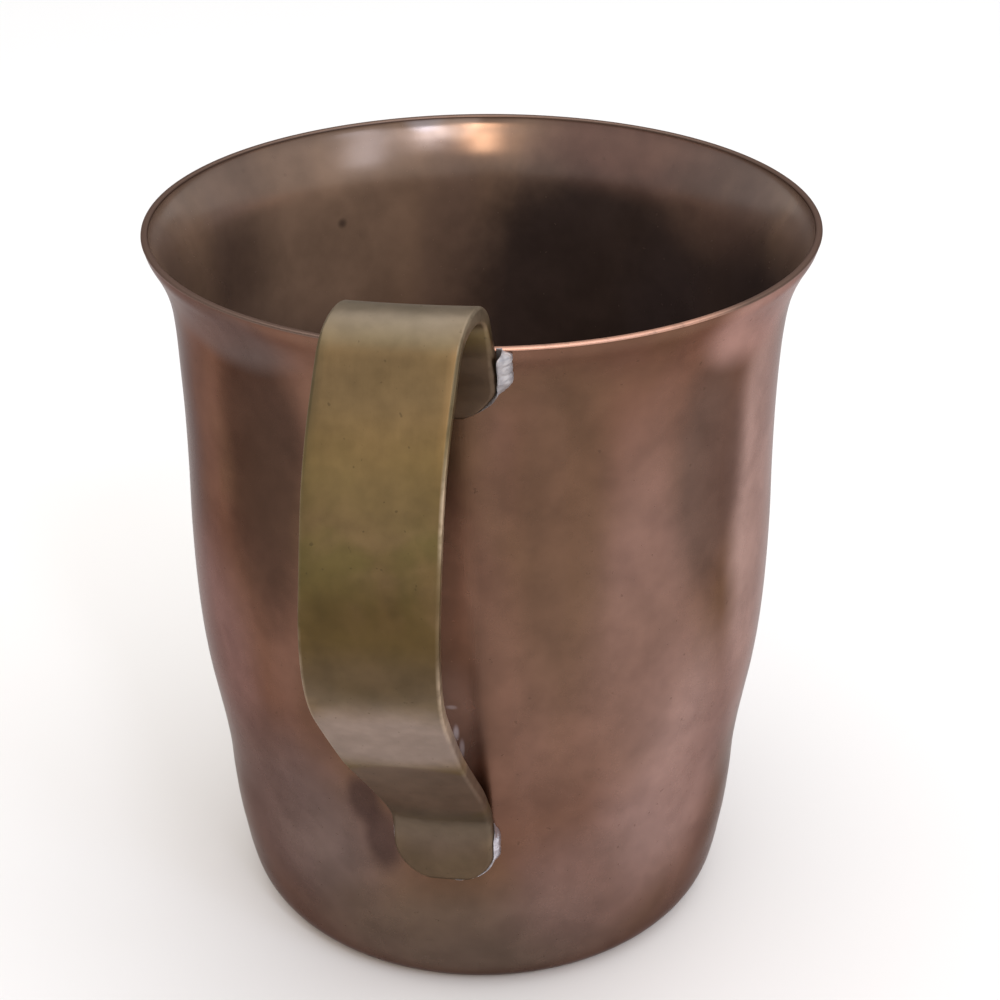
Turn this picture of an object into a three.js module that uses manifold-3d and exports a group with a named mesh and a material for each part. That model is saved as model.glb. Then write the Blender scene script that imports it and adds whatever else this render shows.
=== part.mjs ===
// A handmade copper pitcher: a thin raised body with a flared rim and a rounded foot, and a
// brass strap handle that hooks over at the rim, bows out for the hand and runs back in to the
// lower wall. Two tabs at the strap's ends lie on the wall, each held by a bead of solder.
//
// Units are millimetres and +Z is up. The origin is the centre of the flat base, and the
// handle is soldered on along +X.

import * as THREE from 'three';
import { mergeVertices } from 'three/addons/utils/BufferGeometryUtils.js';
import Module from 'manifold-3d';

const wasm = await Module();
wasm.setup();

// Driving sizes of the copper body. Radii are of its outer face.
const HEIGHT = 114.5;
const SHEET = 0.9;
const BASE_RADIUS = 32.5;
const FOOT_RADIUS = 40.8;
const FOOT_HEIGHT = 10.3;
const FOOT_FULLNESS = 2.6; // 2 rounds the foot as a circle, more makes it squarer
const WAIST_RADIUS = 42.1;
const WAIST_HEIGHT = 22.5;
const HIP_RADIUS = 44.6;
const HIP_HEIGHT = 43.5;
const BELLY_RADIUS = 45.75;
const NECK_RADIUS = 45.3;
const NECK_DROP = 29; // drops are measured down from the rim
const THROAT_RADIUS = 45.7;
const THROAT_DROP = 15;
const FLARE_RADIUS = 47.1;
const FLARE_DROP = 6.9;
const RIM_RADIUS = 50;

// Driving sizes of the brass strap, along its outer face. Drops are measured down from the
// rim, rises up from it, reaches out from it.
const STRAP_THICKNESS = 2.2;
const STRAP_EDGE_ROUND = 0.9;
const GRIP_WIDTH = 17.5;
const UPPER_TAB_WIDTH = 17.2;
const LOWER_TAB_WIDTH = 14.8;
const TAB_CORNER_RADIUS = 5.5;
const UPPER_TAB_DROP = 10.6; // the tab's round end
const HOOK_REACH = 5.3;
const HOOK_RISE = 9.1;
const HOOK_BEND = 6.9;
const CREST_REACH = 13.7;
const CREST_RISE = 8.8;
const CREST_BEND = 8;
const SHOULDER_REACH = 22.5;
const SHOULDER_DROP = 7.4;
const SHOULDER_BEND = 51;
const ELBOW_REACH = 28.4;
const ELBOW_DROP = 34;
const ELBOW_BEND = 24;
const CREASE_REACH = 14.2;
const CREASE_DROP = 54.7;
const CREASE_BEND = 2.5;
const LIP_BEND = 4;
const TAB_BEND = 12;
const LOWER_TAB_HEIGHT = 25.4; // the tab's round end, above the base
const LOWER_TAB_LENGTH = 11.5;
const GRIP_SWAY = 4; // the grip stands this much to the -Y side of its tabs

// Driving sizes of the solder
const SOLDER_REACH = 2.2;
const SOLDER_HEIGHT = 1.3;
const UPPER_SOLDER_LENGTH = 9.5;
const LOWER_SOLDER_LENGTH = 8;

// Clearances between pieces that meet
const SEAT_GAP = 0.35; // from the wall to the tabs and the solder
const LIP_GAP = 0.7; // from the rim's lip to the hook that passes it
const LEAST_GAP = 0.25; // what the strap is trimmed back to, wherever it would come closer

// How finely the round shapes are cut
const BODY_SEGMENTS = 64;
const WALL_STEPS = 19;
const FOOT_STEPS = 5;
const STRAP_STEPS = 70;
const TAB_END_STEPS = 8;
const EDGE_STEPS = 2;

const BEND_SHARE = 0.48; // the most of a straight run that a bend at its end may take
const SAME_POINT = 1e-4;

const COPPER = { color: 0x7a5548, roughness: 0.32, metalness: 1 };
const BRASS = { color: 0x857448, roughness: 0.38, metalness: 1 };
const SOLDER = { color: 0xb4aeb2, roughness: 0.5, metalness: 1 };

// A closed geometry as a solid that can be joined and cut
function toSolid(geometry) {
  const bare = geometry.clone();
  bare.deleteAttribute('normal');
  bare.deleteAttribute('uv');
  const merged = mergeVertices(bare, SAME_POINT);
  return new wasm.Manifold(new wasm.Mesh({
    numProp: 3,
    vertProperties: new Float32Array(merged.attributes.position.array),
    triVerts: new Uint32Array(merged.index.array),
  }));
}

function toGeometry(solid) {
  const mesh = solid.getMesh();
  const geometry = new THREE.BufferGeometry();
  geometry.setAttribute('position', new THREE.BufferAttribute(mesh.vertProperties, 3));
  geometry.setIndex(new THREE.BufferAttribute(mesh.triVerts, 1));
  geometry.computeVertexNormals();
  return geometry;
}

function piece(name, geometry, finish) {
  const mesh = new THREE.Mesh(geometry, new THREE.MeshStandardMaterial(finish));
  mesh.name = name;
  return mesh;
}

// Turns a closed outline of (radius, height) points about the Z axis
function turned(outline) {
  const geometry = new THREE.LatheGeometry(outline, BODY_SEGMENTS);
  geometry.rotateX(Math.PI / 2);
  return geometry;
}

// The outer face of the body from the edge of the flat base up to the rim, as (radius, height)
function outerFace() {
  const foot = [];
  for (let i = 0; i < FOOT_STEPS; i += 1) {
    const angle = (i / FOOT_STEPS) * (Math.PI / 2);
    const power = 2 / FOOT_FULLNESS;
    foot.push(new THREE.Vector2(
      BASE_RADIUS + (FOOT_RADIUS - BASE_RADIUS) * Math.sin(angle) ** power,
      FOOT_HEIGHT * (1 - Math.cos(angle) ** power),
    ));
  }
  const neckHeight = HEIGHT - NECK_DROP;
  const stations = [
    [FOOT_RADIUS, FOOT_HEIGHT],
    [WAIST_RADIUS, WAIST_HEIGHT],
    [HIP_RADIUS, HIP_HEIGHT],
    [BELLY_RADIUS, (HIP_HEIGHT + neckHeight) / 2],
    [NECK_RADIUS, neckHeight],
    [THROAT_RADIUS, HEIGHT - THROAT_DROP],
    [FLARE_RADIUS, HEIGHT - FLARE_DROP],
    [RIM_RADIUS, HEIGHT],
  ];
  const line = new THREE.CatmullRomCurve3(
    stations.map(([radius, height]) => new THREE.Vector3(radius, height, 0)),
    false,
    'centripetal',
  );
  const wall = line.getPoints(WALL_STEPS).map((point) => new THREE.Vector2(point.x, point.y));
  return foot.concat(wall);
}

// The same line moved outwards by a distance, or inwards by a negative one
function offsetFace(face, distance) {
  return face.map((point, i) => {
    const before = face[Math.max(i - 1, 0)];
    const after = face[Math.min(i + 1, face.length - 1)];
    const along = after.clone().sub(before).normalize();
    return new THREE.Vector2(point.x + along.y * distance, point.y - along.x * distance);
  });
}

function radiusAt(face, height) {
  const next = Math.max(1, face.findIndex((point) => point.y >= height));
  const low = face[next - 1];
  const high = face[next];
  return low.x + ((high.x - low.x) * (height - low.y)) / (high.y - low.y);
}

const outer = outerFace();
// The furthest out that the outer face of a tab can lie
const tabFace = Math.max(...outer.map((point) => point.x)) + SEAT_GAP + STRAP_THICKNESS;

// The open-topped copper shell
function copperBody() {
  const inner = offsetFace(outer, -SHEET);
  const floorEdge = new THREE.Vector2(BASE_RADIUS, SHEET);
  const inside = inner.filter((point) => point.y > SHEET && point.y < HEIGHT);
  const rimInside = new THREE.Vector2(RIM_RADIUS - SHEET, HEIGHT);
  const outline = [
    new THREE.Vector2(0, 0),
    ...outer,
    rimInside,
    ...inside.reverse(),
    floorEdge,
    new THREE.Vector2(0, SHEET),
  ];
  return turned(outline);
}

// A band round the body between two heights, from one distance off its outer face to another
function wallBand(lowest, highest, nearest, furthest) {
  const rows = outer.filter((point) => point.y > lowest && point.y < highest);
  const near = offsetFace(rows, nearest);
  const far = offsetFace(rows, furthest);
  const outline = [...far, ...near.reverse()];
  outline.push(outline[0].clone());
  return toSolid(turned(outline));
}

// The body with everything inside it filled up to the rim, grown by the least gap
function seatCutter() {
  const grown = offsetFace(outer, LEAST_GAP);
  const top = new THREE.Vector2(RIM_RADIUS + LEAST_GAP, HEIGHT + LEAST_GAP);
  return toSolid(turned([
    new THREE.Vector2(0, -LEAST_GAP),
    new THREE.Vector2(BASE_RADIUS, -LEAST_GAP),
    ...grown.slice(1, -1),
    top,
    new THREE.Vector2(0, HEIGHT + LEAST_GAP),
  ]));
}

// A bent line: straight runs between corners, with an arc of its own radius at each bend
function bentLine(corners) {
  const path = new THREE.Path();
  path.moveTo(corners[0].x, corners[0].y);
  for (let i = 1; i < corners.length - 1; i += 1) {
    const corner = new THREE.Vector2(corners[i].x, corners[i].y);
    const back = new THREE.Vector2(corners[i - 1].x, corners[i - 1].y).sub(corner);
    const on = new THREE.Vector2(corners[i + 1].x, corners[i + 1].y).sub(corner);
    const room = BEND_SHARE * Math.min(back.length(), on.length());
    back.normalize();
    on.normalize();
    const half = Math.acos(THREE.MathUtils.clamp(back.dot(on), -1, 1)) / 2;
    const cut = Math.min(corners[i].bend / Math.tan(half), room);
    const radius = cut * Math.tan(half);
    const start = corner.clone().addScaledVector(back, cut);
    const end = corner.clone().addScaledVector(on, cut);
    const inwards = back.clone().add(on).normalize();
    const centre = corner.clone().addScaledVector(inwards, radius / Math.sin(half));
    const clockwise = back.cross(on) > 0;
    path.lineTo(start.x, start.y);
    path.absarc(
      centre.x,
      centre.y,
      radius,
      Math.atan2(start.y - centre.y, start.x - centre.x),
      Math.atan2(end.y - centre.y, end.x - centre.x),
      clockwise,
    );
  }
  const last = corners[corners.length - 1];
  path.lineTo(last.x, last.y);
  return path;
}

// A flat line stood up in the XZ plane, for a section to follow
class UprightCurve extends THREE.Curve {
  constructor(path) {
    super();
    this.path = path;
  }

  getPoint(t) {
    const point = this.path.getPointAt(t);
    return new THREE.Vector3(point.x, 0, point.y);
  }
}

// The strap's outer face in side view: up the flare, over the rim, out, down and back in
function strapLine() {
  const lowerFace = SEAT_GAP + STRAP_THICKNESS;
  const upperEnd = HEIGHT - UPPER_TAB_DROP;
  const tabTop = LOWER_TAB_HEIGHT + LOWER_TAB_LENGTH;
  const lipFace = RIM_RADIUS + LIP_GAP;
  const climb = offsetFace(outer, SEAT_GAP)
    .filter((point) => point.y > upperEnd + LIP_GAP && point.y < HEIGHT - LIP_GAP)
    .map((point) => ({ x: point.x, y: point.y, bend: LIP_BEND }));
  return bentLine([
    { x: radiusAt(outer, upperEnd) + SEAT_GAP, y: upperEnd },
    ...climb,
    { x: lipFace, y: HEIGHT + LIP_GAP, bend: LIP_BEND },
    { x: RIM_RADIUS + HOOK_REACH, y: HEIGHT + HOOK_RISE, bend: HOOK_BEND },
    { x: RIM_RADIUS + CREST_REACH, y: HEIGHT + CREST_RISE, bend: CREST_BEND },
    { x: RIM_RADIUS + SHOULDER_REACH, y: HEIGHT - SHOULDER_DROP, bend: SHOULDER_BEND },
    { x: RIM_RADIUS + ELBOW_REACH, y: HEIGHT - ELBOW_DROP, bend: ELBOW_BEND },
    { x: RIM_RADIUS + CREASE_REACH, y: HEIGHT - CREASE_DROP, bend: CREASE_BEND },
    { x: radiusAt(outer, tabTop) + lowerFace, y: tabTop, bend: TAB_BEND },
    { x: radiusAt(outer, LOWER_TAB_HEIGHT) + lowerFace, y: LOWER_TAB_HEIGHT },
  ]);
}

// The strap's section at its full width: a flat bar with rounded edges. Its outer face is at 0,
// and its thickness lies on the right of the line that it follows, inside the handle's loop.
function strapSection() {
  const half = GRIP_WIDTH / 2;
  const round = STRAP_EDGE_ROUND;
  const deep = STRAP_THICKNESS;
  const section = new THREE.Shape();
  section.moveTo(-half + round, 0);
  section.absarc(half - round, round, round, -Math.PI / 2, 0, false);
  section.absarc(half - round, deep - round, round, 0, Math.PI / 2, false);
  section.absarc(-half + round, deep - round, round, Math.PI / 2, Math.PI, false);
  section.absarc(-half + round, round, round, Math.PI, Math.PI * 1.5, false);
  return section;
}

function tabWidthAt(height) {
  const low = LOWER_TAB_HEIGHT + LOWER_TAB_LENGTH;
  const share = THREE.MathUtils.clamp((height - low) / (HEIGHT - low), 0, 1);
  return THREE.MathUtils.lerp(LOWER_TAB_WIDTH, UPPER_TAB_WIDTH, share);
}

// Narrows the bar towards the wall, sways its grip to one side, and dishes its tabs to the wall
function shapeStrap(geometry) {
  const place = geometry.attributes.position;
  const elbow = RIM_RADIUS + ELBOW_REACH;
  for (let i = 0; i < place.count; i += 1) {
    const x = place.getX(i);
    const z = place.getZ(i);
    const reach = THREE.MathUtils.clamp((x - NECK_RADIUS) / (elbow - NECK_RADIUS), 0, 1);
    const width = THREE.MathUtils.lerp(tabWidthAt(z), GRIP_WIDTH, reach);
    const across = (place.getY(i) * width) / GRIP_WIDTH;
    const wall = radiusAt(outer, Math.min(z, HEIGHT));
    const dish = wall - Math.sqrt(wall ** 2 - across ** 2);
    const fade = 1 - THREE.MathUtils.smoothstep(x, RIM_RADIUS, RIM_RADIUS + CREST_REACH);
    place.setX(i, x - dish * fade);
    place.setY(i, across - GRIP_SWAY * THREE.MathUtils.smoothstep(reach, 0, 1));
  }
}

// A plate seen along X: a strip of a given width whose lower end is rounded, grown by a margin
function tabPlate(width, endHeight, topHeight, margin) {
  const half = width / 2 + margin;
  const low = endHeight - margin;
  const round = TAB_CORNER_RADIUS + margin;
  const plate = new THREE.Shape();
  plate.moveTo(-half, topHeight);
  plate.lineTo(-half, low + round);
  plate.absarc(-half + round, low + round, round, Math.PI, Math.PI * 1.5, false);
  plate.absarc(half - round, low + round, round, Math.PI * 1.5, Math.PI * 2, false);
  plate.lineTo(half, topHeight);
  const geometry = new THREE.ExtrudeGeometry(plate, {
    depth: RIM_RADIUS,
    bevelEnabled: false,
    curveSegments: TAB_END_STEPS,
  });
  geometry.applyMatrix4(new THREE.Matrix4().makeBasis(
    new THREE.Vector3(0, 1, 0),
    new THREE.Vector3(0, 0, 1),
    new THREE.Vector3(1, 0, 0),
  ));
  geometry.translate(NECK_RADIUS / 2, 0, 0);
  return toSolid(geometry);
}

// Everything of one tab's last stretch that lies outside its rounded end
function endCutter(width, endHeight) {
  const top = endHeight + TAB_CORNER_RADIUS;
  const depth = 2 * TAB_CORNER_RADIUS;
  const near = NECK_RADIUS / 2;
  const block = new THREE.BoxGeometry(tabFace - near, 2 * GRIP_WIDTH, depth);
  block.translate((tabFace + near) / 2, 0, top - depth / 2);
  return toSolid(block).subtract(tabPlate(width, endHeight, top + depth, 0));
}

function brassStrap() {
  const bar = new THREE.ExtrudeGeometry(strapSection(), {
    steps: STRAP_STEPS,
    curveSegments: EDGE_STEPS,
    extrudePath: new UprightCurve(strapLine()),
  });
  shapeStrap(bar);
  return toSolid(bar)
    .subtract(seatCutter())
    .subtract(endCutter(UPPER_TAB_WIDTH, HEIGHT - UPPER_TAB_DROP))
    .subtract(endCutter(LOWER_TAB_WIDTH, LOWER_TAB_HEIGHT));
}

// A low bead of solder on the wall round the sides and the end of one tab
function solderBead(width, endHeight, length) {
  const top = endHeight + length;
  const low = endHeight - length;
  const band = wallBand(low, top + length, SEAT_GAP, SEAT_GAP + SOLDER_HEIGHT);
  const outside = tabPlate(width, endHeight, top, SOLDER_REACH);
  const inside = tabPlate(width, endHeight, top + SOLDER_REACH, SEAT_GAP);
  return band.intersect(outside).subtract(inside);
}

const pitcher = new THREE.Group();
pitcher.add(piece('copper_body', copperBody(), COPPER));
pitcher.add(piece('brass_handle', toGeometry(brassStrap()), BRASS));
pitcher.add(piece(
  'upper_solder',
  toGeometry(solderBead(UPPER_TAB_WIDTH, HEIGHT - UPPER_TAB_DROP, UPPER_SOLDER_LENGTH)),
  SOLDER,
));
pitcher.add(piece(
  'lower_solder',
  toGeometry(solderBead(LOWER_TAB_WIDTH, LOWER_TAB_HEIGHT, LOWER_SOLDER_LENGTH)),
  SOLDER,
));

export default pitcher;
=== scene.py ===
import logging
import math
from dataclasses import dataclass, field
from enum import Enum
from typing import Sequence, Union

import bpy
from mathutils import Matrix, Vector, noise


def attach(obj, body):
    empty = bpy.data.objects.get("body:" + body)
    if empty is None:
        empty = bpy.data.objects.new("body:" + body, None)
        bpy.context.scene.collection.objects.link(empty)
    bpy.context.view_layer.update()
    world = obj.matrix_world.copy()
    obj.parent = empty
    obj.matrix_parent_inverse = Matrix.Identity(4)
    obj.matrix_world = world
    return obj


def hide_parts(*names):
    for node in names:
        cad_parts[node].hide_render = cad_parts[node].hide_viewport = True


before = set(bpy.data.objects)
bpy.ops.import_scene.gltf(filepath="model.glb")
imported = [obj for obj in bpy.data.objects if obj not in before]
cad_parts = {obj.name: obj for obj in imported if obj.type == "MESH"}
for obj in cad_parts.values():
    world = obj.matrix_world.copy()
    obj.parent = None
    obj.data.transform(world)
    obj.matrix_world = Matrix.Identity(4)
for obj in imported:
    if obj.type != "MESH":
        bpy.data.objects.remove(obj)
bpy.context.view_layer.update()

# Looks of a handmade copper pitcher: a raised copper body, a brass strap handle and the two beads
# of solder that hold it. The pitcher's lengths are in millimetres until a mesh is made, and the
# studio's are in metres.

log = logging.getLogger("pitcher")

MM = 0.001
ROOT_BODY = "root"
NOISE_MIDDLE = 0.5
SHIFT_WAY = (1.0, 0.7, -1.0)

Pair = tuple[float, float]
Triple = tuple[float, float, float]
Colour = tuple[float, float, float, float]
Face = tuple[int, ...]


class Slot(Enum):
    """The record's material slots."""

    COPPER = "patinated_copper"
    BRASS = "aged_brass"
    SOLDER = "solder"


class Mark(Enum):
    """What a mesh stores at its corners for its finish to read."""

    INNER_FACE = "inner_face"
    RIM_EDGE = "rim_edge"
    EDGE_WEAR_AND_SHEEN = "edge_wear_and_sheen"
    HIDDEN_FACE = "hidden_face"


class Maths(Enum):
    """The operations of a Math node that the finishes use."""

    ADD = "ADD"
    SUBTRACT = "SUBTRACT"
    MULTIPLY = "MULTIPLY"


class Blend(Enum):
    """The ways in which one colour is laid over another."""

    COVER = "MIX"
    DARKEN = "MULTIPLY"


# Small helpers on numbers, lines and meshes


def ease(share: float) -> float:
    """A smooth step from 0 to 1."""
    held = min(max(share, 0.0), 1.0)
    return held * held * (3.0 - 2.0 * held)


def between(low: float, high: float, share: float) -> float:
    """The value at a share of the way from low to high."""
    return low + (high - low) * share


@dataclass(frozen=True)
class Stretch:
    """A stretch of heights that fades in from its low end and out past its high end."""

    low: float
    fade_in: float
    high: float
    fade_out: float

    def share(self, height: float) -> float:
        """How far a height is inside the stretch, from 0 to 1."""
        come = ease((height - self.low) / self.fade_in)
        return come * (1.0 - ease((height - self.high) / self.fade_out))


def follow(points: Sequence[Pair], steps: int) -> list[Pair]:
    """Runs a smooth line through points.

    Args:
        points: The points that the line passes through.
        steps: How many pieces each stretch between two points is cut into.

    Returns:
        The points of the smooth line, with the given ones among them.
    """
    ends = [points[0], *points, points[-1]]
    line: list[Pair] = []
    for a, b, c, d in zip(ends, ends[1:], ends[2:], ends[3:]):
        for k in range(steps):
            t = k / steps
            line.append(
                tuple(
                    0.5 * (2 * q + (r - p) * t + (2 * p - 5 * q + 4 * r - s) * t * t
                           + (3 * q - p - 3 * r + s) * t ** 3)
                    for p, q, r, s in zip(a, b, c, d)
                )
            )
    line.append(points[-1])
    return line


def moved_out(line: Sequence[Pair], distance: float) -> list[Pair]:
    """Moves a (radius, height) line to its right-hand side as it climbs.

    Args:
        line: The points of the line, from the bottom up.
        distance: How far it goes outwards, or inwards where it is negative.

    Returns:
        The moved points.
    """
    moved = []
    for i, (radius, height) in enumerate(line):
        before, after = line[max(i - 1, 0)], line[min(i + 1, len(line) - 1)]
        run, rise = after[0] - before[0], after[1] - before[1]
        length = math.hypot(run, rise)
        moved.append((radius + rise / length * distance, height - run / length * distance))
    return moved


def even_steps(rough: Sequence[Pair], step: float) -> list[Pair]:
    """Cuts a line into even steps.

    Args:
        rough: The line's points, however close they are.
        step: About how long a step is.

    Returns:
        Points an even step apart, with both ends kept.
    """
    runs = [0.0]
    for a, b in zip(rough, rough[1:]):
        runs.append(runs[-1] + math.dist(a, b))
    count = round(runs[-1] / step)
    line, i = [], 0
    for k in range(count + 1):
        want = runs[-1] * k / count
        while i < len(rough) - 2 and runs[i + 1] < want:
            i += 1
        gap = runs[i + 1] - runs[i]
        share = min((want - runs[i]) / gap, 1.0) if gap > 0 else 0.0
        line.append(tuple(between(p, q, share) for p, q in zip(rough[i], rough[i + 1])))
    return line


def joined_loops(count: int, around: int) -> list[Face]:
    """Faces between closed loops of corners that follow each other.

    Args:
        count: How many loops there are.
        around: How many corners each loop has.

    Returns:
        The faces, as corner numbers.
    """
    faces = []
    for low in range(0, (count - 1) * around, around):
        high = low + around
        for i in range(around):
            after = (i + 1) % around
            faces.append((low + i, low + after, high + after, high + i))
    return faces


def capped_loops(count: int, around: int) -> list[Face]:
    """Faces between closed loops of corners, with a flat face over each end.

    Args:
        count: How many loops there are.
        around: How many corners each loop has.

    Returns:
        The faces, as corner numbers.
    """
    last = (count - 1) * around
    ends = [tuple(reversed(range(around))), tuple(range(last, last + around))]
    return joined_loops(count, around) + ends


def make_piece(name: str, corners: Sequence[Triple], faces: Sequence[Face]) -> bpy.types.Object:
    """Makes a smooth shaded object from corners in millimetres.

    Args:
        name: The piece's name.
        corners: The mesh's corners.
        faces: Each face's corner numbers.

    Returns:
        The new object, linked to the scene.
    """
    mesh = bpy.data.meshes.new(name)
    mesh.from_pydata([(x * MM, y * MM, z * MM) for x, y, z in corners], [], faces)
    mesh.validate()
    mesh.polygons.foreach_set("use_smooth", [True] * len(mesh.polygons))
    mesh.update()
    piece = bpy.data.objects.new(name, mesh)
    bpy.context.scene.collection.objects.link(piece)
    return piece


def store(piece: bpy.types.Object, mark: Mark, values: Sequence[float]) -> None:
    """Stores a value at each corner of a piece."""
    piece.data.attributes.new(mark.value, "FLOAT", "POINT").data.foreach_set("value", values)


# Shader maths


class Wire:
    """A socket of a material's node tree that Python's operators work on."""

    def __init__(self, bench: "FinishBench", socket: bpy.types.NodeSocket) -> None:
        """Keeps the socket and the bench that it belongs to."""
        self.bench = bench
        self.socket = socket

    def worked(self, kind: Maths, first: "Part", second: "Part") -> "Wire":
        """Adds one Math node.

        Args:
            kind: The node's operation.
            first: Its first value.
            second: Its second value.

        Returns:
            The node's result.
        """
        return self.bench.add("ShaderNodeMath", {"operation": kind.value}, {0: first, 1: second})

    def __add__(self, other: "Part") -> "Wire":
        """This plus another."""
        return self.worked(Maths.ADD, self, other)

    def __radd__(self, other: "Part") -> "Wire":
        """Another plus this."""
        return self.worked(Maths.ADD, other, self)

    def __sub__(self, other: "Part") -> "Wire":
        """This minus another."""
        return self.worked(Maths.SUBTRACT, self, other)

    def __rsub__(self, other: "Part") -> "Wire":
        """Another minus this."""
        return self.worked(Maths.SUBTRACT, other, self)

    def __mul__(self, other: "Part") -> "Wire":
        """This times another."""
        return self.worked(Maths.MULTIPLY, self, other)

    def __rmul__(self, other: "Part") -> "Wire":
        """Another times this."""
        return self.worked(Maths.MULTIPLY, other, self)


Part = Union[Wire, float, int, Sequence[float]]


@dataclass(frozen=True)
class Cloud:
    """Soft noise over a piece.

    A blot's size is in millimetres, detail is how many finer layers it has, and stretch is how
    much longer it is along each axis. Shift moves the pattern, so that two clouds of a size
    differ, and bend is how much the pattern is drawn out by itself.
    """

    size: float
    detail: float
    stretch: Triple = (1.0, 1.0, 1.0)
    shift: float = 0.0
    bend: float = 0.0


class FinishBench:
    """Builds the node tree of one material."""

    def __init__(self, name: str) -> None:
        """Starts a material with one Principled shader and the piece's own coordinates."""
        self.material = bpy.data.materials.new(name)
        self.material.use_nodes = True
        self.tree = self.material.node_tree
        self.tree.nodes.clear()
        self.shader = self.tree.nodes.new("ShaderNodeBsdfPrincipled")
        output = self.tree.nodes.new("ShaderNodeOutputMaterial")
        self.tree.links.new(self.shader.outputs["BSDF"], output.inputs["Surface"])
        self.place = self.add("ShaderNodeTexCoord", {}, {}, "Object")

    def plug(self, socket: bpy.types.NodeSocket, value: Part) -> None:
        """Links a wire to a socket, or sets the socket's own value."""
        if isinstance(value, Wire):
            self.tree.links.new(value.socket, socket)
        else:
            socket.default_value = value

    def add(self, kind: str, settings: dict, sockets: dict, result: Union[str, int] = 0) -> Wire:
        """Adds one node.

        Args:
            kind: The node's type.
            settings: Its settings, set first.
            sockets: The value or wire of each input, by name or number.
            result: The output that is wanted, by name or number.

        Returns:
            That output.
        """
        node = self.tree.nodes.new(kind)
        for name, value in settings.items():
            setattr(node, name, value)
        for name, value in sockets.items():
            self.plug(node.inputs[name], value)
        return Wire(self, node.outputs[result])

    def stored(self, mark: Mark) -> Wire:
        """What the piece stores at its corners under a mark."""
        return self.add("ShaderNodeAttribute", {"attribute_name": mark.value}, {}, "Fac")

    def cloud(self, cloud: Cloud) -> Wire:
        """A cloud's noise, from 0 to 1 and mostly near its middle."""
        sockets = {
            "Vector": self.place,
            "Location": tuple(cloud.shift * way for way in SHIFT_WAY),
            "Scale": tuple(1.0 / (cloud.size * MM * longer) for longer in cloud.stretch),
        }
        where = self.add("ShaderNodeMapping", {"vector_type": "POINT"}, sockets)
        sockets = {"Vector": where, "Scale": 1.0, "Detail": cloud.detail, "Distortion": cloud.bend}
        return self.add("ShaderNodeTexNoise", {"noise_dimensions": "3D"}, sockets, "Fac")

    def step(self, value: Wire, span: Pair) -> Wire:
        """Turns a value into a mask that rises smoothly from 0 to 1 over a span."""
        sockets = {"Value": value, "From Min": span[0], "From Max": span[1]}
        return self.add("ShaderNodeMapRange", {"interpolation_type": "SMOOTHSTEP"}, sockets)

    def blend(self, share: Part, base: Part, top: Part, way: Blend = Blend.COVER) -> Wire:
        """Lays one colour over another.

        Args:
            share: How much of the top colour shows.
            base: The colour below.
            top: The colour above.
            way: How the two go together.

        Returns:
            The blended colour.
        """
        settings = {"data_type": "RGBA", "blend_type": way.value, "clamp_factor": True}
        return self.add("ShaderNodeMix", settings, {0: share, 6: base, 7: top}, 2)

    def grey(self, level: Wire) -> Wire:
        """A grey of the given level, as a colour."""
        return self.add("ShaderNodeCombineColor", {}, {0: level, 1: level, 2: level})

    def from_spot(self, centre: Triple, reach: Triple) -> Wire:
        """The distance from a point in reaches: 0 at the point and 1 on an ellipsoid round it.

        Args:
            centre: The point, in millimetres.
            reach: The ellipsoid's half axes, in millimetres.

        Returns:
            The distance.
        """
        kind = "ShaderNodeVectorMath"
        middle = tuple(c * MM for c in centre)
        shares = tuple(1.0 / (r * MM) for r in reach)
        off = self.add(kind, {"operation": "SUBTRACT"}, {0: self.place, 1: middle})
        off = self.add(kind, {"operation": "MULTIPLY"}, {0: off, 1: shares})
        return self.add(kind, {"operation": "LENGTH"}, {0: off}, "Value")

    def bump(self, height: Wire, depth: float, below: Union[Wire, None] = None) -> Wire:
        """A relief of a given depth in millimetres, on top of another where one is given."""
        sockets = {"Height": height, "Distance": depth * MM, "Strength": 1.0}
        if below is not None:
            sockets["Normal"] = below
        return self.add("ShaderNodeBump", {}, sockets)

    def dress(self, piece: bpy.types.Object, sockets: dict) -> None:
        """Sets the shader's sockets and gives the material to a piece."""
        for name, value in sockets.items():
            self.plug(self.shader.inputs[name], value)
        piece.data.materials.clear()
        piece.data.materials.append(self.material)


# Finishes. A span is the pair of noise levels or distances between which something comes in.


def colour(red: float, green: float, blue: float) -> Colour:
    """A linear colour as a socket takes it."""
    return (red, green, blue, 1.0)


@dataclass(frozen=True)
class TarnishAndPaintedLightPatch:
    """A soft-edged patch of another colour: painted light, shade and reflection in most places, and a dark
    spot of tarnish in one. Its place and reach are in millimetres.
    """

    centre: Triple
    reach: Triple
    tint: Colour
    share: float
    fade: float = 0.4

    def lay(self, bench: FinishBench, tone: Wire, ragged: Wire, allowed: Part = 1.0) -> Wire:
        """Lays the patch over a colour.

        Args:
            bench: The bench of the finish.
            tone: The colour below.
            ragged: What is added to the distance, so that the patch's edge wanders.
            allowed: 1 where the patch may show and 0 elsewhere.

        Returns:
            The colour with the patch on it.
        """
        far = bench.from_spot(self.centre, self.reach) + ragged
        off = bench.step(far, (1.0 - self.fade, 1.0 + self.fade))
        return bench.blend((1.0 - off) * self.share * allowed, tone, self.tint)


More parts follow.
